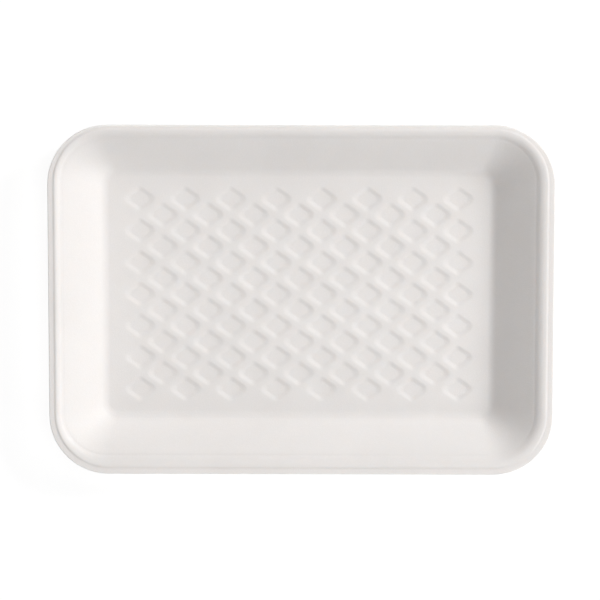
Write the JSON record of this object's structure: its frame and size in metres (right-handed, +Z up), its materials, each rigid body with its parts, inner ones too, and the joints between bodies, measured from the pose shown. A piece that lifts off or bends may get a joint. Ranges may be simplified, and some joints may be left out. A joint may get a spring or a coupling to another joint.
{
  "type": "foam food tray",
  "caption": "Shallow white foam tray in one piece, with sloping walls, a narrow beaded rim and a flat floor pressed with a lattice of diamond pockets, for fresh food.",
  "frame": {"origin": "middle of the tray's box, on the surface that it rests on", "axes": "+X along the long side, +Y along the short side, +Z up out of the tray's mouth"},
  "size_m": [0.2096, 0.146, 0.0165],
  "materials": {
    "foam": "white foam with a smooth, faintly glossy skin and fine closed cells"
  },
  "bodies": {
    "root": {"tray": "foam"}
  },
  "joints": []
}
